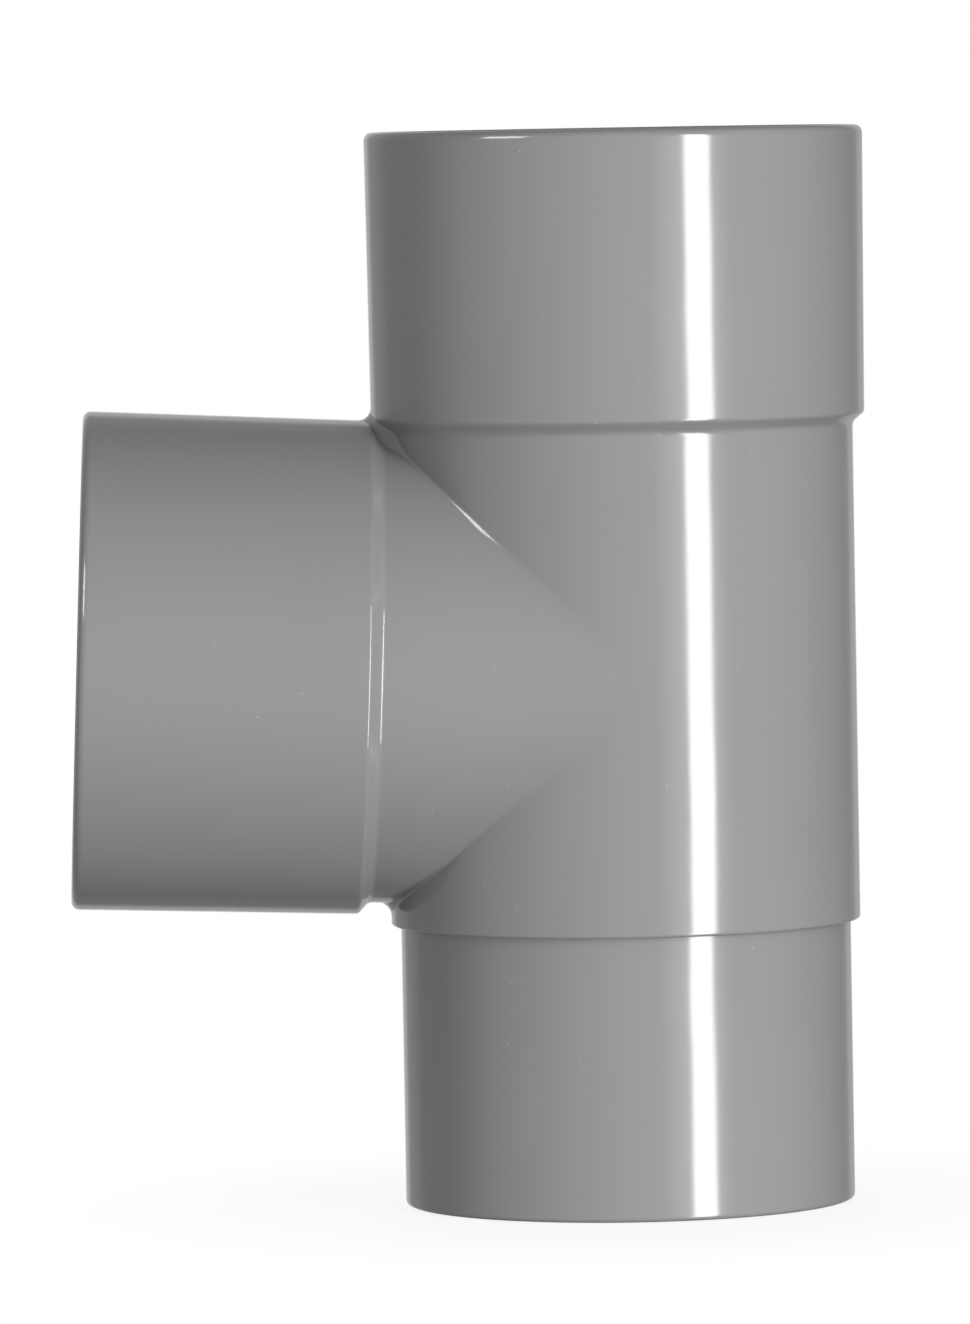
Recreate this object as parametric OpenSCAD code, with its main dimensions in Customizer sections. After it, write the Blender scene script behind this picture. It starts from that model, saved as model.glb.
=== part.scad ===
// Rainwater downpipe tee, 87.5 degrees, for 80 mm round plastic pipe.
// One moulding: a socket on top, a reduced spigot below that drops inside the next pipe,
// and a socketed branch that rises slightly towards its mouth so that it drains.
// Millimetres. +Z runs up the downpipe, the branch points to -X, and the origin is the
// centre of the spigot's lower end.

/* [Pipe] */
// Outside diameter of the round pipe that both sockets take
pipe_d = 80; // [63:1:110]
// Wall of that pipe, which sets the size of the spigot that goes inside it
pipe_wall = 1.5; // [1.2:0.1:2.4]
// Radial gap between a pipe and the socket around it
socket_gap = 0.15; // [0.05:0.05:0.4]
// Radial gap between the spigot and the pipe around it
spigot_gap = 0.15; // [0.05:0.05:0.4]

/* [Body] */
// Outside diameter of the body and of the branch's neck
body_d = 80; // [60:1:110]
// Wall of the body, the neck and the spigot
body_wall = 2.2; // [1.8:0.1:3.5]
// Angle between the upward direction and the branch
branch_angle = 87.5; // [67.5:0.5:90]
// Length of straight body left between the branch's crotch and the shoulder below it
lower_land = 3.9; // [2:0.1:30]
// Length of straight wall left between the upper crotch and the ramp of each socket beside it
upper_land = 0.4; // [0.3:0.1:30]

/* [Sockets] */
// Depth from a socket's mouth to the stop that the pipe's end meets
socket_depth = 48; // [25:1:80]
// Wall of a socket just past its ramp, where it is thinnest
socket_wall = 1.85; // [1.6:0.05:3]
// How much the outside of a socket grows in radius from its ramp to its mouth
socket_flare = 0.4; // [0.1:0.1:1]
// Length of the ramp from the body out to the socket, along the axis
ramp_len = 1.8; // [1.5:0.1:4]
// How far the ramp starts behind the pipe stop
stop_setback = 2.6; // [2.2:0.1:5]
// Width of the ledge inside that stops the pipe's end
stop_ledge = 2.35; // [1.2:0.05:3]
// Rounding of a mouth's outer edge
rim_round = 1.4; // [0.6:0.1:1.6]
// Rounding of a mouth's inner edge, which leads the pipe in
rim_lead = 0.6; // [0.3:0.1:0.8]

/* [Spigot] */
// Length of the spigot below the body's shoulder
spigot_len = 47.8; // [25:1:80]
// Width of the ledge at the shoulder that rests on the end of the pipe below
shoulder_ledge = 1.65; // [1:0.05:3]
// Rounding of the spigot's outer lower edge
end_round = 0.8; // [0.4:0.1:1]
// Rounding of the spigot's inner lower edge
end_ease = 0.4; // [0.2:0.1:0.6]
// Rounding of the shoulder's outer edge
shoulder_round = 0.3; // [0.2:0.1:0.6]
// Length of the cone inside that joins the body's bore to the spigot's
throat_len = 2; // [1:0.5:6]

/* [Look] */
// Grey of the moulding
tee_grey = "#7f8082";

/* [Hidden] */
$fn = 128;
eps = 0.01;
body_r = body_d / 2;
body_bore_r = body_r - body_wall;
socket_bore_r = pipe_d / 2 + socket_gap;
socket_r = socket_bore_r + socket_wall;
mouth_r = socket_r + socket_flare;
socket_len = stop_setback + socket_depth;
stop_r = socket_bore_r - stop_ledge;
spigot_r = pipe_d / 2 - pipe_wall - spigot_gap;
spigot_bore_r = spigot_r - body_wall;
shoulder_r = spigot_r + shoulder_ledge;
shoulder_z = spigot_len;
throat_z = shoulder_z + end_ease;
// Extra length of the throat where the body is wider or narrower than the shoulder
throat_extra = 2 * abs(body_r - shoulder_r);
throat_top = throat_z + throat_len + throat_extra;
// Height of the branch's axis over the crotch below it
lower_reach = body_r / tan((180 - branch_angle) / 2);
branch_z = shoulder_z + throat_extra + lower_land + lower_reach;
// The ramps start where both the bodies and the sockets are clear of each other in the crotch
branch_ramp = max(
    body_r / tan(branch_angle / 2) + upper_land,
    socket_r / tan(branch_angle / 2) - ramp_len
);
ramp_z = branch_z + branch_ramp;

// Section of a quarter-round corner at [r, z] that fills the square below and inside it
module corner_fill(r, z, round) {
    translate([r - round, z - round])
        circle(r = round);
}

// Section of the space that a rounded inner edge of a mouth at height z gives back
module edge_space(r, z, round) {
    difference() {
        translate([r - eps, z - round])
            square([round + eps, round + eps]);
        translate([r + round, z - round])
            circle(r = round);
    }
}

// Solid outside of a socket, from its ramp's foot at z = 0 to its mouth
module socket_outside() {
    rotate_extrude()
        union() {
            polygon([
                [0, -eps],
                [body_r, -eps],
                [body_r, 0],
                [socket_r, ramp_len],
                [mouth_r, socket_len - rim_round],
                [mouth_r - rim_round, socket_len],
                [0, socket_len]
            ]);
            corner_fill(mouth_r, socket_len, rim_round);
        }
}

// Space inside a socket, from the body's bore at the ramp's foot past the pipe stop and the mouth
module socket_inside() {
    rotate_extrude()
        polygon([
            [0, -eps],
            [body_bore_r, -eps],
            [body_bore_r, 0],
            [stop_r, stop_setback],
            [socket_bore_r, stop_setback],
            [socket_bore_r, socket_len + 1],
            [0, socket_len + 1]
        ]);
    rotate_extrude()
        edge_space(socket_bore_r, socket_len, rim_lead);
}

// Turns a piece that stands along +Z onto the branch's axis
module along_branch() {
    translate([0, 0, branch_z])
        rotate([0, -branch_angle, 0])
            children();
}

// Solid outside of the body, with the shoulder's rounded lower edge
module body_outside() {
    rotate_extrude()
        union() {
            polygon([
                [0, shoulder_z],
                [shoulder_r - shoulder_round, shoulder_z],
                [shoulder_r, shoulder_z + shoulder_round],
                [shoulder_r, throat_z],
                [body_r, throat_top],
                [body_r, ramp_z],
                [0, ramp_z]
            ]);
            translate([shoulder_r - shoulder_round, shoulder_z + shoulder_round])
                circle(r = shoulder_round);
        }
}

// Solid outside of the spigot, with its rounded lower edge
module spigot_outside() {
    rotate_extrude()
        union() {
            polygon([
                [0, 0],
                [spigot_r - end_round, 0],
                [spigot_r, end_round],
                [spigot_r, shoulder_z + eps],
                [0, shoulder_z + eps]
            ]);
            translate([spigot_r - end_round, end_round])
                circle(r = end_round);
        }
}

// Web in the upper crotch: the part that both sockets' outsides share there
module crotch_web() {
    web_r = socket_r - 0.05;
    web_back = 2 * ramp_len;
    intersection() {
        translate([0, 0, ramp_z - web_back])
            cylinder(r = web_r, h = web_back + ramp_len);
        along_branch()
            translate([0, 0, branch_ramp - web_back])
                cylinder(r = web_r, h = web_back + ramp_len);
    }
}

// Space inside the run, from the spigot's end through the throat to the socket's ramp
module run_inside() {
    rotate_extrude()
        polygon([
            [0, -1],
            [spigot_bore_r, -1],
            [spigot_bore_r, throat_z],
            [body_bore_r, throat_top],
            [body_bore_r, ramp_z],
            [0, ramp_z]
        ]);
    mirror([0, 0, 1])
        rotate_extrude()
            edge_space(spigot_bore_r, 0, end_ease);
}

module tee() {
    color(tee_grey)
        difference() {
            union() {
                spigot_outside();
                body_outside();
                translate([0, 0, ramp_z])
                    socket_outside();
                along_branch()
                    cylinder(r = body_r, h = branch_ramp);
                along_branch()
                    translate([0, 0, branch_ramp])
                        socket_outside();
                crotch_web();
            }
            run_inside();
            translate([0, 0, ramp_z])
                socket_inside();
            along_branch()
                cylinder(r = body_bore_r, h = branch_ramp);
            along_branch()
                translate([0, 0, branch_ramp])
                    socket_inside();
        }
}

tee();
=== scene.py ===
# %% [markdown]
# # A rainwater downpipe tee
#
# The real object is one moulding of grey PVC-U. Pipes slide into its two sockets, at the top
# and at the side, and the narrow spigot below drops inside the next pipe down the wall. The
# CAD file already has every size right, so this notebook is about how the moulding looks:
# edges that a mould rounds off, a blend in the corner between the two tubes, and plastic
# glossy enough to mirror a lamp as a crisp stripe.
#
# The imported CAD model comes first. It is the frame that everything else is built on, and
# its box is noted so that the finished skin can be held against it.

import bmesh
import bpy
import numpy as np
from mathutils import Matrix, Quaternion, Vector


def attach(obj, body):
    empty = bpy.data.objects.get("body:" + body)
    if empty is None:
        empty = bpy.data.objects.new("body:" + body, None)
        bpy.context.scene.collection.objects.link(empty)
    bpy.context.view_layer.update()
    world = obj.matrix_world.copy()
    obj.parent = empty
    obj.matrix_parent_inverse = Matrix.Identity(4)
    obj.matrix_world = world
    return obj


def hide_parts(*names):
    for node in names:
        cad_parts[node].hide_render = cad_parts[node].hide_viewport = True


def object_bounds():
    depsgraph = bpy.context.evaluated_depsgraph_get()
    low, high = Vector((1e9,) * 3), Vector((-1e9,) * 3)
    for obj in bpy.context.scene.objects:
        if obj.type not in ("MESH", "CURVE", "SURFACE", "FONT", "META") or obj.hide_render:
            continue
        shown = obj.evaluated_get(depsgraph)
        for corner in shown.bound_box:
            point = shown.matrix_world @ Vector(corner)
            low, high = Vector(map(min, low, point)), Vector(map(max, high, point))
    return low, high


MM = 0.001
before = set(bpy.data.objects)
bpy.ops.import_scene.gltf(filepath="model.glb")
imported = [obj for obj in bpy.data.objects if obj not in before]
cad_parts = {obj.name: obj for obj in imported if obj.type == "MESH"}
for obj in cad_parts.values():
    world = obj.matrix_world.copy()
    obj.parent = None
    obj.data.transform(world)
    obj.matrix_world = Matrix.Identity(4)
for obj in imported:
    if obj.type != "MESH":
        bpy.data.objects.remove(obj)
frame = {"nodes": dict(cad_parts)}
cad_low, cad_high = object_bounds()
print("CAD nodes:", ", ".join(frame["nodes"]))
print("CAD box in mm:", [round(v / MM, 2) for v in (*cad_low, *cad_high)])

# %% [markdown]
# ## Sizes
#
# These are the sizes of the CAD source, in metres. The downpipe is 80 mm across, so the
# sockets bore out to just over that, and the spigot is narrower than the bore of the pipe
# that takes it. Heights are measured along a tube from the point where the two axes cross.
# The branch leaves at 87.5 degrees to the upward direction, which lets it drain.

# %% Sizes of the moulding
body_r = 40 * MM
wall = 2.2 * MM
bore_r = body_r - wall
socket_bore_r = 40.15 * MM
socket_r = 42 * MM
mouth_r = 42.4 * MM
spigot_r = 38.35 * MM
spigot_bore_r = spigot_r - wall

socket_depth = 48 * MM
spigot_length = 47.8 * MM
ramp_length = 1.8 * MM
ramp_before_stop = 2.6 * MM
throat_before_shoulder = 0.4 * MM
throat_length = 2 * MM

# %% Places along the two axes
crossing = np.array([0, 0, 89.9917 * MM])
stop_h = 44.7845 * MM
mouth_h = stop_h + socket_depth
ramp_h = stop_h - ramp_before_stop
shoulder_h = crossing[2] - spigot_length
throat_h = shoulder_h - throat_before_shoulder

branch_tilt = np.radians(87.5)
up = np.array([0, 0, 1.0])
branch = np.array([-np.sin(branch_tilt), 0, np.cos(branch_tilt)])
sideways = np.array([0, 1.0, 0])
print("top of the moulding at", round((crossing[2] + mouth_h) / MM, 2), "mm")

# %% [markdown]
# ## Outlines with rounded corners
#
# Each tube is turned from an outline: a line of points that gives a radius and a height.
# A Bevel modifier could round the corners afterwards, but it would round the hidden ones
# and the visible ones alike. Here every corner names its own radius, as a mould maker
# would. The straight stretches get a point close to each end, so that smooth shading
# turns within the corner and leaves the wall beside it perfectly straight.

# %% Helper: a straight stretch
longest_step = 3 * MM
near_corner = 0.2 * MM
nearest_share = 0.2


def straight(start, end):
    """Points from start to end, both included: one near each end and even steps between."""
    length = np.linalg.norm(end - start)
    margin = min(near_corner, nearest_share * length)
    steps = max(1, int(np.ceil((length - 2 * margin) / longest_step)))
    along = np.r_[0, np.linspace(margin, length - margin, steps + 1), length]
    return start + (end - start) * (along / length)[:, None]


print("a wall of 30 mm takes", len(straight(np.zeros(2), np.array([0, 30 * MM]))), "points")

# %% Helper: an outline with rounded corners
corner_steps = 6


def rounded(corners):
    """Joins (radius, height, rounding) corners with straight lines and arcs.

    An arc's centre lies on the corner's bisector at rounding / sin(half the corner's
    angle), and its points turn evenly from one touching point to the other."""
    corners = np.array(corners, dtype=float)
    points, rounding = corners[:, :2], corners[:, 2]
    pieces, last = [], points[0]
    for before, corner, after, r in zip(points, points[1:], points[2:], rounding[1:]):
        back = (before - corner) / np.linalg.norm(before - corner)
        on = (after - corner) / np.linalg.norm(after - corner)
        half = np.arccos(back @ on) / 2
        centre = corner + (back + on) / np.linalg.norm(back + on) * r / np.sin(half)
        first, end = corner + (np.array([back, on]) * r / np.tan(half)) - centre
        share = np.linspace(0, 1, corner_steps + 1)[:, None]
        turn = np.pi - 2 * half
        weights = np.sin((1 - share) * turn) / np.sin(turn), np.sin(share * turn) / np.sin(turn)
        arc = centre + weights[0] * first + weights[1] * end
        pieces += [straight(last, arc[0])[:-1], arc[:-1]]
        last = arc[-1]
    pieces += [straight(last, points[-1])]
    return np.concatenate(pieces)


# %% The socket's two outlines, from its rim to the crossing of the axes
mouth_round = 1.4 * MM
mouth_ease = 0.6 * MM
socket_rim_r = (socket_bore_r + mouth_ease + mouth_r - mouth_round) / 2

socket_outside = rounded([
    (socket_rim_r, mouth_h, 0),
    (mouth_r, mouth_h, mouth_round),
    (socket_r, ramp_h + ramp_length, 1.0 * MM),
    (body_r, ramp_h, 1.5 * MM),
    (body_r, 0, 0),
])
socket_inside = rounded([
    (socket_rim_r, mouth_h, 0),
    (socket_bore_r, mouth_h, mouth_ease),
    (socket_bore_r, stop_h, 0.3 * MM),
    (bore_r, stop_h, 0.2 * MM),
    (bore_r, 0, 0),
])
print("points in the socket's outlines:", len(socket_outside), "and", len(socket_inside))

# %% The spigot's two outlines
end_round = 0.8 * MM
end_ease = 0.4 * MM
spigot_rim_r = (spigot_bore_r + end_ease + spigot_r - end_round) / 2

spigot_outside = rounded([
    (spigot_rim_r, crossing[2], 0),
    (spigot_r, crossing[2], end_round),
    (spigot_r, shoulder_h, 0.15 * MM),
    (body_r, shoulder_h, 0.5 * MM),
    (body_r, 0, 0),
])
spigot_inside = rounded([
    (spigot_rim_r, crossing[2], 0),
    (spigot_bore_r, crossing[2], end_ease),
    (spigot_bore_r, throat_h, 0.5 * MM),
    (bore_r, throat_h - throat_length, 0.5 * MM),
    (bore_r, 0, 0),
])
print("points in the spigot's outlines:", len(spigot_outside), "and", len(spigot_inside))

# %% [markdown]
# ## The ball in the corner
#
# A mould rounds the corner between two tubes as if a ball had rolled along their crease.
# On this tee the ball isn't the same everywhere. It is large in the corner itself, small
# half-way round, and large again towards the sides, where the two tubes run smoothly
# together and the crease dies out. A Bevel modifier can vary its width by vertex weights,
# but a formula is easier to match to the photograph: four numbers for each crease, and an
# angle at which the last widening starts.

# %% Helper: how large the ball is at each angle
side_angle = 75
fading_cosine = 0.12


def ball_radius(turn, corner, middle, side, power, widens):
    """The crease's rounding at each angle turn: corner at 0, then middle, and side from 75
    degrees on. It fades from corner to middle with a power of the cosine, from middle to
    side by a smooth step that starts at widens degrees, and to 0 at 90 by a square root."""
    step = np.clip((np.degrees(np.abs(turn)) - widens) / (side_angle - widens), 0, 1)
    near_side = step**2 * (3 - 2 * step)
    radius = middle + (corner - middle) * np.cos(turn) ** power + (side - middle) * near_side
    return radius * np.sqrt(np.minimum(1, np.cos(turn) / fading_cosine))


upper_crease = dict(corner=2.1 * MM, middle=0.6 * MM, side=2.5 * MM, power=120, widens=35)
lower_crease = dict(corner=2.5 * MM, middle=0.5 * MM, side=2.6 * MM, power=60, widens=50)
core_crease = dict(corner=0.3 * MM, middle=0.3 * MM, side=0.3 * MM, power=1, widens=50)
some_angles = [0, 10, 30, 60, 75]
for where, crease in (("upper", upper_crease), ("lower", lower_crease)):
    radii = ball_radius(np.radians(some_angles), **crease) / MM
    print(where, "ball in mm at", some_angles, "degrees:", radii.round(2))

# %% [markdown]
# ## The corner between two tubes
#
# Run and branch are equally wide, so they cross in flat ellipses, and each crease lies in
# the plane that halves the angle between the two axes. A Boolean modifier would leave a
# sharp crease and a tangle of thin triangles there. Instead each tube is a grid of lines
# that run from its rim straight down to that plane, so the two grids meet point for point.
#
# At each angle round the tube the ball rests on whatever stands highest: on the plain wall,
# or, where the sockets crowd together in the upper corner, on the socket's ramp. It would
# drop off the ramp's end as off a step, so straight chords bridge such a dip and leave the
# small web that the real tee has there.

# %% Helper: points of an outline, seen from the crease
def distances(outline):
    """How far along the outline each of its points lies from the crossing of the axes: the
    sum of all the steps between that point and the last one."""
    step = np.linalg.norm(np.diff(outline, axis=0), axis=1)
    return np.r_[np.cumsum(step[::-1])[::-1], 0]


def on_outline(outline, length, turn, half):
    """Points of the outline at the given lengths from the crossing, for each angle turn
    round the axis. The angle is 0 on the side of the other tube.

    Returns radius r, height h and the place in the crease's own directions, where half is
    half the angle between the two axes: out along the crease's plane,
    p = h cos(half) + r cos(turn) sin(half), and away from it,
    q = h sin(half) - r cos(turn) cos(half)."""
    distance = distances(outline)[::-1]
    r = np.interp(length, distance, outline[::-1, 0])
    h = np.interp(length, distance, outline[::-1, 1])
    inward = r * np.cos(turn)[:, None]
    p = h * np.cos(half) + inward * np.sin(half)
    q = h * np.sin(half) - inward * np.cos(half)
    return r, h, p, q


def sharp_crease(outline, turn, half):
    """The height at which the plain wall would meet the crease's plane: where q is 0."""
    return outline[-1, 0] * np.cos(turn) / np.tan(half)


print("the socket's outline is", round(distances(socket_outside)[0] / MM, 1), "mm long")

# %% Helper: the line along the bottom of the crease
radii_searched = np.linspace(0, 5, 2001)
rounding_error = 1e-20


def crease_line(outline, turn, half, ball):
    """How far out the bottom of the rounded crease lies at each angle turn.

    Of all outline points the ball rests on the one that lifts its centre most,
    p + sqrt(ball^2 - q^2), and its lowest point lies one radius below. Where the line of
    these points dips, the longest chord that stays above it bridges the dip."""
    start = sharp_crease(outline, turn, half)
    length = start[:, None] + ball[:, None] * radii_searched
    _, _, p, q = on_outline(outline, length, turn, half)
    reach = ball[:, None] ** 2 - q**2
    lift = np.where(reach > -rounding_error, p + np.sqrt(np.maximum(reach, 0)), -np.inf)
    line = lift.max(axis=1) - ball

    y = np.sin(turn)
    first, last = np.triu_indices(len(y), 1)
    share = (y[:, None] - y[first]) / (y[last] - y[first])
    chord = line[first] + (line[last] - line[first]) * share
    return np.where((share >= 0) & (share <= 1), chord, line[:, None]).max(axis=1)


# %% Helper: where the rounding starts, and the rows above it
wall_steps = 16
depth_searched = np.linspace(0, 12 * MM, 1201)
same_radius = 1e-9


def rounding_start(outline, turn, half, ball, line):
    """The length at which each column leaves the outline. A ball touches a straight wall
    ball * (1 - sin(half)) further out than its own lowest point."""
    length = sharp_crease(outline, turn, half)[:, None] + depth_searched
    rise = np.maximum.accumulate(on_outline(outline, length, turn, half)[2], axis=1)
    wanted = line + ball * (1 - np.sin(half))
    return np.array([np.interp(*column) for column in zip(wanted, rise, length)])[:, None]


def wall_rows(outline, start):
    """The lengths of each column's rows. They keep the outline's own points as far as the
    plain wall, and spread from there to start by half a cosine wave, closest at its ends."""
    plain = np.flatnonzero(np.abs(outline[:, 0] - outline[-1, 0]) < same_radius)[0]
    kept = np.maximum(distances(outline)[: plain + 1], start)
    share = (1 - np.cos(np.linspace(0, np.pi, wall_steps + 1)[1:])) / 2
    return np.hstack([kept, kept[:, -1:] + (start - kept[:, -1:]) * share])


# %% Helper: the crease's own section
crease_steps = 8
slope_span = np.array([-0.1, 0.1]) * MM


def crease_rows(p, q, slope, line):
    """A parabola from (p, q) to (line, 0) that starts with the wall's slope dq/dp and ends
    square to the crease's plane. Its control point is where the wall's tangent passes line."""
    control = np.clip(q - (p - line) * slope, 0, q)
    left = 1 - np.linspace(0, 1, crease_steps + 1)[1:]
    return line + left**2 * (p - line), left**2 * q + 2 * left * (1 - left) * control


# %% Helper: one tube's surface, from its rim to the crease
columns = 120
just_inside = 1 - 1e-12


def tube(outline, axis, beside, crease):
    """A tube's half that faces the tube beside it, as a grid of columns by rows.

    A column keeps one angle round the axis, and its points are crossing + p * outward +
    q * across + y * sideways, with y = r sin(turn). Also returns the first column's radii
    and heights, where the tube's other half takes over."""
    outward = (axis + beside) / np.linalg.norm(axis + beside)
    half = np.arccos(axis @ outward)
    across = (axis - np.cos(half) * outward) / np.sin(half)
    turn = np.radians(np.linspace(-90, 90, columns + 1))
    turn[[0, -1]] *= just_inside

    ball = ball_radius(turn, **crease)
    line = crease_line(outline, turn, half, ball)
    start = rounding_start(outline, turn, half, ball, line)
    r, h, p, q = on_outline(outline, wall_rows(outline, start), turn, half)
    y = r * np.sin(turn)[:, None]

    _, _, near_p, near_q = on_outline(outline, start + slope_span, turn, half)
    slope = np.diff(near_q) / np.diff(near_p)
    curve_p, curve_q = crease_rows(p[:, -1:], q[:, -1:], slope, line[:, None])
    p = np.hstack([p, curve_p])[..., None]
    q = np.hstack([q, curve_q])[..., None]
    y = np.hstack([y, np.repeat(y[:, -1:], crease_steps, axis=1)])[..., None]
    return crossing + p * outward + q * across + y * sideways, r[0], h[0]


def far_side(r, h, axis):
    """The half of an upright tube that faces away from the branch: the radii r at heights h
    along the axis, turned through half a circle, with x = r cos(turn), y = r sin(turn)."""
    turn = np.radians(np.linspace(90, -90, columns + 1))[:, None]
    z = crossing[2] + axis[2] * h + np.zeros_like(turn)
    return np.stack([r * np.cos(turn), r * np.sin(turn), z], axis=-1)


# %% [markdown]
# ## The skin of the tee
#
# Six grids cover the outside: the top socket and the branch up to the upper crease, the
# branch and the spigot's side up to the lower crease, and the plain back of the run in two
# pieces. The inside takes the same six from its own outlines, with sharper creases, since
# the core pins that shape it meet metal to metal. Outside and inside share the middle line
# of each rim, so the twelve grids close into a single solid skin once the points that
# coincide are merged. The normals are worked out afterwards, from the closed skin.

# %% Build the twelve grids
grids = []
for socket, spigot, above, below in (
    (socket_outside, spigot_outside, upper_crease, lower_crease),
    (socket_inside, spigot_inside, core_crease, core_crease),
):
    top, top_r, top_h = tube(socket, up, branch, above)
    foot, foot_r, foot_h = tube(spigot, -up, branch, below)
    grids += [
        top,
        tube(socket, branch, up, above)[0],
        tube(socket, branch, -up, below)[0],
        foot,
        far_side(top_r, top_h, up),
        far_side(foot_r, foot_h, -up),
    ]
print("points in all grids:", sum(g.shape[0] * g.shape[1] for g in grids))

# %% Helper: one closed skin from several grids
merge_distance = 0.001 * MM


def quads(grid, first):
    """The four-cornered faces between neighbouring columns and rows, numbered from first."""
    number = first + np.arange(grid.shape[0] * grid.shape[1]).reshape(grid.shape[:2])
    ring = [number[:-1, :-1], number[1:, :-1], number[1:, 1:], number[:-1, 1:]]
    return np.stack(ring, axis=-1).reshape(-1, 4)


def closed_skin(name, grids):
    """One object from several grids: coinciding points merged, normals pointing outwards."""
    firsts = np.cumsum([0] + [g.shape[0] * g.shape[1] for g in grids])
    points = np.concatenate([g.reshape(-1, 3) for g in grids])
    faces = np.concatenate([quads(g, n) for g, n in zip(grids, firsts)])
    mesh = bpy.data.meshes.new(name)
    mesh.from_pydata(points, [], faces.tolist())
    work = bmesh.new()
    work.from_mesh(mesh)
    bmesh.ops.remove_doubles(work, verts=work.verts, dist=merge_distance)
    bmesh.ops.dissolve_degenerate(work, edges=work.edges, dist=merge_distance / 10)
    bmesh.ops.recalc_face_normals(work, faces=work.faces)
    open_edges = sum(not e.is_manifold for e in work.edges)
    print(name, "volume", round(work.calc_volume() / MM**3), "mm3, open edges:", open_edges)
    work.to_mesh(mesh)
    work.free()
    mesh.shade_smooth()
    skin = bpy.data.objects.new(name, mesh)
    bpy.context.scene.collection.objects.link(skin)
    return skin


# %% Join the grids, and put the skin in the CAD solid's place
tee = closed_skin("moulded_tee", grids)
tee.data.calc_loop_triangles()
print("triangles:", len(tee.data.loop_triangles))
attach(tee, "root")
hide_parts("tee")

# %% [markdown]
# ## Glossy grey PVC-U
#
# PVC-U for gutters and downpipes is a dense, opaque plastic, coloured right through. The
# polished mould leaves it glossy: a clear, slightly softened mirror over a plain grey.
# It is never perfectly flat. The wall shrinks unevenly as it cools, which leaves waves a
# couple of centimetres long that make a reflected lamp wander, and the skin has the fine
# pebbling known as orange peel. Handling adds faint dull smears and a few specks of dust.


# %% Helpers for materials
def linear(colour):
    """Turns an sRGB hex colour into linear light, with the standard sRGB curve."""
    c = np.array([int(colour[i : i + 2], 16) for i in (1, 3, 5)]) / 255
    return tuple(np.where(c <= 0.04045, c / 12.92, ((c + 0.055) / 1.055) ** 2.4)) + (1,)


def add(tree, kind, inputs=(), **settings):
    """Adds a node, sets its settings, and sets or links its inputs."""
    node = tree.nodes.new(kind)
    for name, value in settings.items():
        setattr(node, name, value)
    for name, value in dict(inputs).items():
        if isinstance(value, bpy.types.NodeSocket):
            tree.links.new(value, node.inputs[name])
        else:
            node.inputs[name].default_value = value
    return node


print("#808080 is", round(float(linear("#808080")[0]), 3), "in linear light")

# %% Moulded PVC-U: colour
pvc = bpy.data.materials.new("glossy_grey_pvc")
pvc.use_nodes = True
tree = pvc.node_tree
shader = tree.nodes["Principled BSDF"]
shader.inputs["IOR"].default_value = 1.54
place = add(tree, "ShaderNodeTexCoord").outputs["Object"]

# Pigment: a barely visible drift where the melt flowed, about 45 mm long
flow = add(tree, "ShaderNodeTexNoise", {"Vector": place, "Scale": 1 / (45 * MM), "Detail": 3.0})
grey = add(
    tree,
    "ShaderNodeMix",
    {"Factor": flow.outputs["Fac"], "A": linear("#7e7e7e"), "B": linear("#848484")},
    data_type="RGBA",
)

# Dust: specks of up to half a millimetre, about one to every three square centimetres
speck = add(tree, "ShaderNodeTexVoronoi", {"Vector": place, "Scale": 1 / (5 * MM), "Randomness": 1.0})
speck_mask = add(
    tree,
    "ShaderNodeMapRange",
    {"Value": speck.outputs["Distance"], "From Min": 0.05, "From Max": 0.02, "To Max": 0.35},
)
dusty = add(
    tree,
    "ShaderNodeMix",
    {"Factor": speck_mask.outputs["Result"], "A": grey.outputs["Result"], "B": linear("#b4b4b4")},
    data_type="RGBA",
)
tree.links.new(dusty.outputs["Result"], shader.inputs["Base Color"])
print("colour:", len(tree.nodes), "nodes")

# %% Moulded PVC-U: gloss and relief
# Smears left by handling: a little duller in soft patches of about 30 mm
smear = add(tree, "ShaderNodeTexNoise", {"Vector": place, "Scale": 1 / (30 * MM), "Detail": 5.0})
gloss = add(
    tree,
    "ShaderNodeMapRange",
    {"Value": smear.outputs["Fac"], "From Min": 0.35, "From Max": 0.7, "To Min": 0.1, "To Max": 0.125},
)
tree.links.new(gloss.outputs["Result"], shader.inputs["Roughness"])

# Cooling waves about 25 mm long, and orange peel about 1.5 mm across on top of them
wave = add(tree, "ShaderNodeTexNoise", {"Vector": place, "Scale": 1 / (25 * MM), "Detail": 1.0})
waved = add(tree, "ShaderNodeBump", {"Height": wave.outputs["Fac"], "Distance": 0.12 * MM})
peel = add(tree, "ShaderNodeTexNoise", {"Vector": place, "Scale": 1 / (1.5 * MM), "Detail": 1.0})
peeled = add(
    tree,
    "ShaderNodeBump",
    {"Height": peel.outputs["Fac"], "Distance": 0.0015 * MM, "Normal": waved.outputs["Normal"]},
)
tree.links.new(peeled.outputs["Normal"], shader.inputs["Normal"])
tee.data.materials.append(pvc)
print("material:", pvc.name, "with", len(tree.nodes), "nodes")

# %% [markdown]
# ## Studio
#
# The photograph shows the tee on pure white, but a surface this glossy also shows what
# stood round it. In front hung a broad soft light, widest level with the tee and fading
# towards both sides. Dimmer light came from the left and from above, and a soft glow
# surrounded the main lamp, which lights the flanks of its stripe. Behind stood a pale
# sheet with a brighter patch in its middle, and their edges draw the two lighter rims, a
# wide and a narrow one, along the tubes' outlines. These are smooth functions of the
# direction, so the world holds them. Lamps would only draw their outlines on the plastic.
# The white background is for the camera's own rays, and for gloss and glass that look
# straight at it.


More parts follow.
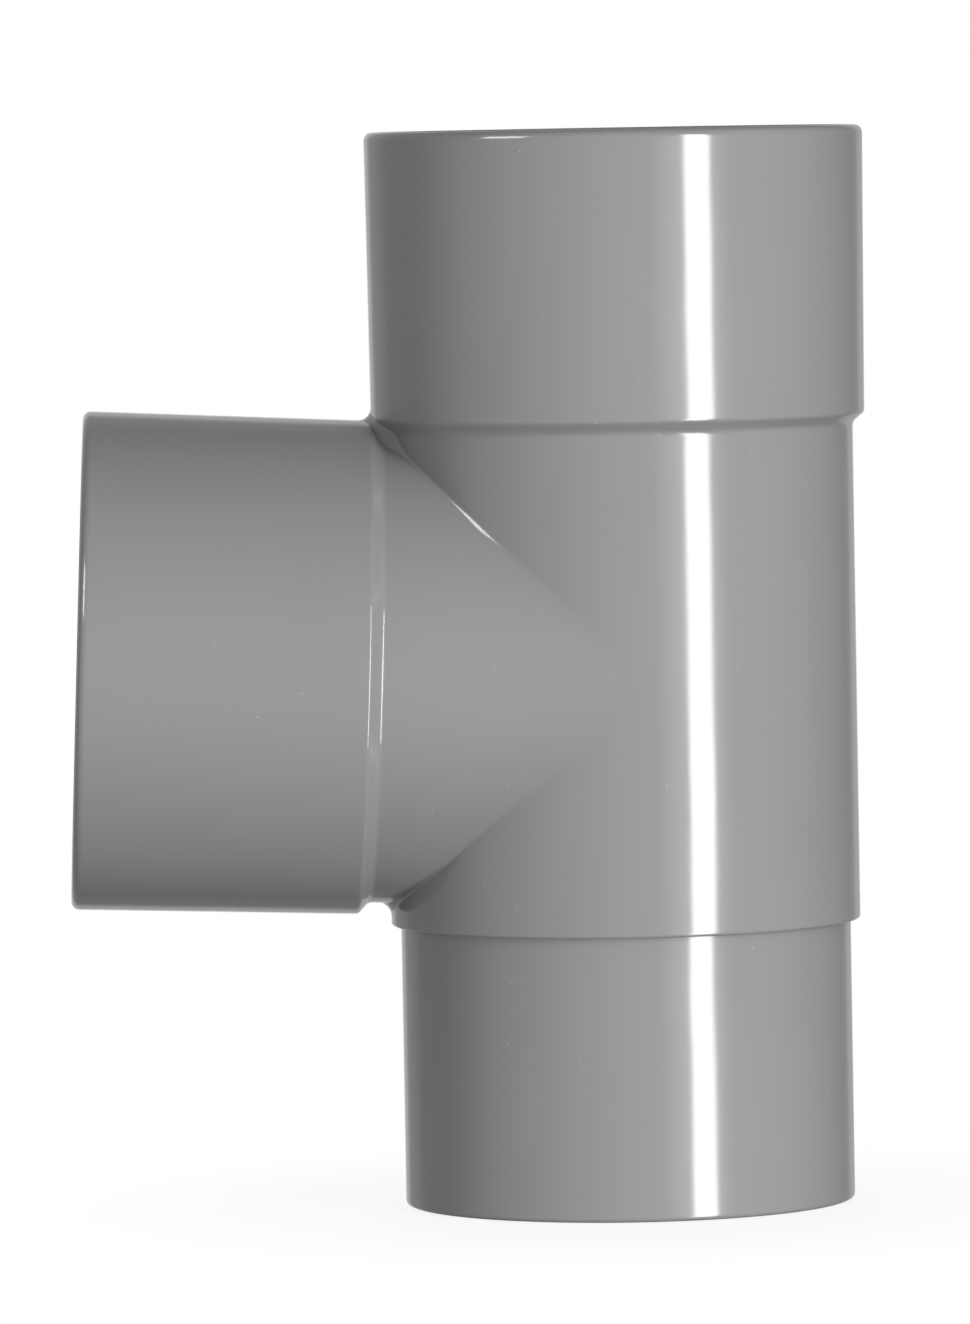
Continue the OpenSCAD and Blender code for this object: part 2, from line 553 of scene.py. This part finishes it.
# %% Helpers: a direction, and a soft light round it
def towards(azimuth, elevation):
    """The unit vector at an azimuth, turned from the camera's side towards +X, and an
    elevation above the horizon, both in degrees."""
    a, e = np.radians(azimuth), np.radians(elevation)
    return Vector((np.sin(a) * np.cos(e), -np.cos(a) * np.cos(e), np.sin(e)))


def lobe(tree, direction, middle, edge, full, radiance):
    """Light that grows evenly from 0 to radiance as the cosine of the angle between the
    direction and the lobe's middle goes from edge to full."""
    facing = add(tree, "ShaderNodeVectorMath", {0: direction, 1: middle}, operation="DOT_PRODUCT")
    ends = {"From Min": edge, "From Max": full, "To Max": radiance}
    return add(tree, "ShaderNodeMapRange", {"Value": facing.outputs["Value"], **ends}).outputs["Result"]


print("towards the camera's side:", [round(v, 2) for v in towards(0, 0)])

# %% World: the broad light in front, the one from the left, and the room
world = bpy.data.worlds.new("studio")
bpy.context.scene.world = world
world.use_nodes = True
tree = world.node_tree
tree.nodes.clear()
direction = add(tree, "ShaderNodeTexCoord").outputs["Generated"]
height = add(tree, "ShaderNodeSeparateXYZ", {"Vector": direction}).outputs["Z"]
room = 0.065
loss_overhead = 0.9

front = lobe(tree, direction, towards(-3, 0), edge=-0.33, full=1, radiance=0.73)
left = lobe(tree, direction, towards(-115, 0), edge=0.3, full=0.8, radiance=0.3)
lit = add(tree, "ShaderNodeMath", {0: front, 1: left}, operation="ADD").outputs[0]
lit = add(tree, "ShaderNodeMath", {0: lit, 1: room}, operation="ADD").outputs[0]

# Widest level with the tee: their sum is multiplied by 1 - 0.9 * height^2
squared = add(tree, "ShaderNodeMath", {0: height, 1: height}, operation="MULTIPLY").outputs[0]
kept = {0: squared, 1: -loss_overhead, 2: 1.0}
kept = add(tree, "ShaderNodeMath", kept, operation="MULTIPLY_ADD").outputs[0]
studio = add(tree, "ShaderNodeMath", {0: lit, 1: kept}, operation="MULTIPLY").outputs[0]
print("broad light and room:", len(tree.nodes), "nodes")

# %% World: the light from above, the sheet behind and the main lamp's glow
smaller_lights = {
    "from above": (towards(0, 90), 0, 1, 0.26),
    "sheet behind": (towards(-178, -3), 0.74, 0.80, 0.12),
    "its brighter patch": (towards(175, -3), 0.885, 0.925, 0.32),
    "main lamp's glow": (towards(33, -3), 0.946, 1, 1.9),
}
for name, (middle, edge, full, radiance) in smaller_lights.items():
    soft = lobe(tree, direction, middle, edge, full, radiance)
    studio = add(tree, "ShaderNodeMath", {0: studio, 1: soft}, operation="ADD").outputs[0]
    print(name, "adds up to", radiance, "within", round(np.degrees(np.arccos(edge))), "degrees")

# %% World: the white background
rays = add(tree, "ShaderNodeLightPath").outputs
bent = {0: rays["Is Glossy Ray"], 1: rays["Is Transmission Ray"]}
bent = add(tree, "ShaderNodeMath", bent, operation="MAXIMUM").outputs[0]
straight_on = lobe(tree, direction, towards(178, -3), edge=0.985, full=0.99, radiance=1.0)
bent = add(tree, "ShaderNodeMath", {0: bent, 1: straight_on}, operation="MULTIPLY").outputs[0]
seen = {0: rays["Is Camera Ray"], 1: bent}
seen = add(tree, "ShaderNodeMath", seen, operation="MAXIMUM").outputs[0]
around = add(tree, "ShaderNodeBackground", {"Color": (1, 1, 1, 1), "Strength": studio})
white = add(tree, "ShaderNodeBackground", {"Color": (1, 1, 1, 1), "Strength": 1.0})
both = add(tree, "ShaderNodeMixShader", {0: seen, 1: around.outputs[0], 2: white.outputs[0]})
add(tree, "ShaderNodeOutputWorld", {"Surface": both.outputs[0]})
print("studio world:", len(tree.nodes), "nodes")

# %% [markdown]
# ## Floor
#
# The stripe of light runs right down to the spigot's foot, as it would above clear glass,
# so the floor must not cut off what the plastic mirrors, nor throw light up at it. It is
# there for the camera alone: plain white, with a faint shadow that fades out within a
# hand's width of the tee. It lies a hair below the foot, so that the two never touch.

# %% A floor that only the camera sees
floor_half = 6.0
floor_drop = 0.2 * MM
corners = [(-1, -1, 0), (1, -1, 0), (1, 1, 0), (-1, 1, 0)]
floor_mesh = bpy.data.meshes.new("studio_floor")
floor_mesh.from_pydata(np.array(corners) * floor_half, [], [(0, 1, 2, 3)])
floor = bpy.data.objects.new("studio_floor", floor_mesh)
bpy.context.scene.collection.objects.link(floor)
floor.location.z = cad_low[2] - floor_drop
floor.visible_glossy = False
floor.visible_diffuse = False
floor.visible_shadow = False
print("floor", round(floor.location.z / MM, 2), "mm from the tee's foot")

# %% White paper with a faint shadow
paper = bpy.data.materials.new("white_paper")
paper.use_nodes = True
tree = paper.node_tree
tree.nodes.clear()
spot = add(tree, "ShaderNodeTexCoord").outputs["Object"]
away = add(tree, "ShaderNodeVectorMath", {0: spot}, operation="LENGTH").outputs["Value"]

# Matt paper takes the tee's shadow. Its share is 0.12 under the tee and 0 from 110 mm on.
fade = {"From Min": 40 * MM, "From Max": 110 * MM, "To Min": 0.12, "To Max": 0.0}
share = add(tree, "ShaderNodeMapRange", {"Value": away, **fade}, interpolation_type="SMOOTHSTEP")
rays = add(tree, "ShaderNodeLightPath").outputs
seen = rays["Is Camera Ray"]
for kind in ("Is Glossy Ray", "Is Transmission Ray"):
    seen = add(tree, "ShaderNodeMath", {0: seen, 1: rays[kind]}, operation="MAXIMUM").outputs[0]
plain = add(tree, "ShaderNodeEmission", {"Color": (1, 1, 1, 1), "Strength": seen})
matt = add(tree, "ShaderNodeBsdfDiffuse", {"Color": linear("#ffffff")})
surface = add(tree, "ShaderNodeMixShader", {0: share.outputs[0], 1: plain.outputs[0], 2: matt.outputs[0]})
add(tree, "ShaderNodeOutputMaterial", {"Surface": surface.outputs[0]})
floor_mesh.materials.append(paper)
print("material:", paper.name, "with", len(tree.nodes), "nodes")

# %% [markdown]
# ## Lamps
#
# Three lamps add to the soft light. The stripe on the run covers 9 degrees of its surface,
# and a mirror doubles angles, so an upright strip about 12 degrees wide makes it, once the
# gloss has softened both of its edges. It hangs 35 degrees to the camera's right. A small
# lamp high on the left leaves only the two short glints, one on the top rim and one in the
# upper crease, so it is switched off for matt light. The third one is for looking at the
# tee from behind: it lights the far side and keeps out of the gloss.

# %% Softboxes round the tee
aim = Vector((0, 0, 90 * MM))
lamp_distance = 1.2


def softbox(name, azimuth, elevation, width, height, radiance):
    """A rectangular lamp aimed at the middle of the tee.

    A lamp that emits a radiance L over an area A has a power of pi * A * L watts, so its
    look in a reflection is set directly."""
    light = bpy.data.lights.new(name, "AREA")
    light.shape = "RECTANGLE"
    light.size, light.size_y = width, height
    light.energy = np.pi * width * height * radiance
    lamp = bpy.data.objects.new(name, light)
    lamp.location = aim + towards(azimuth, elevation) * lamp_distance
    lamp.rotation_mode = "QUATERNION"
    lamp.rotation_quaternion = towards(azimuth, elevation).to_track_quat("Z", "Y")
    lamp.visible_camera = False
    bpy.context.scene.collection.objects.link(lamp)
    print(name, "at", [round(v, 2) for v in lamp.location], "power", round(light.energy, 1), "W")
    return lamp


softbox("strip_lamp", azimuth=35.3, elevation=-3, width=0.26, height=1.36, radiance=14.4)
fill = softbox("fill_lamp", azimuth=-56, elevation=29, width=0.4, height=0.4, radiance=10.0)
fill.visible_diffuse = False
rear = softbox("rear_lamp", azimuth=180, elevation=15, width=0.8, height=0.8, radiance=6.0)
rear.visible_glossy = False

# %% [markdown]
# ## Camera
#
# The tee fills a tall frame with hardly any perspective, so the lens is long and the camera
# far away, level with the top rim and looking very slightly down. The picture leans by one
# degree. The place, the lens and the lean were fitted to the edges of the tee in the
# photograph, with the sizes above held fixed. The plain Standard view keeps every colour
# as it is written.

# %% Camera at the photograph's viewpoint
camera_place = Vector((-92.02, -1812.91, 189.41)) * MM
view_line = Vector((0.037834, 0.997856, -0.053399))
lean = np.radians(1.0128)

camera_data = bpy.data.cameras.new("camera")
camera_data.lens = 290.11
camera_data.clip_start, camera_data.clip_end = 0.1, 20
camera = bpy.data.objects.new("camera", camera_data)
camera.location = camera_place
camera.rotation_mode = "QUATERNION"
camera.rotation_quaternion = view_line.to_track_quat("-Z", "Y") @ Quaternion((0, 0, 1), -lean)
bpy.context.scene.collection.objects.link(camera)
bpy.context.scene.camera = camera
bpy.context.scene.view_settings.view_transform = "Standard"
right = camera.rotation_quaternion @ Vector((1, 0, 0))
print("camera's right-hand direction:", [round(v, 4) for v in right])
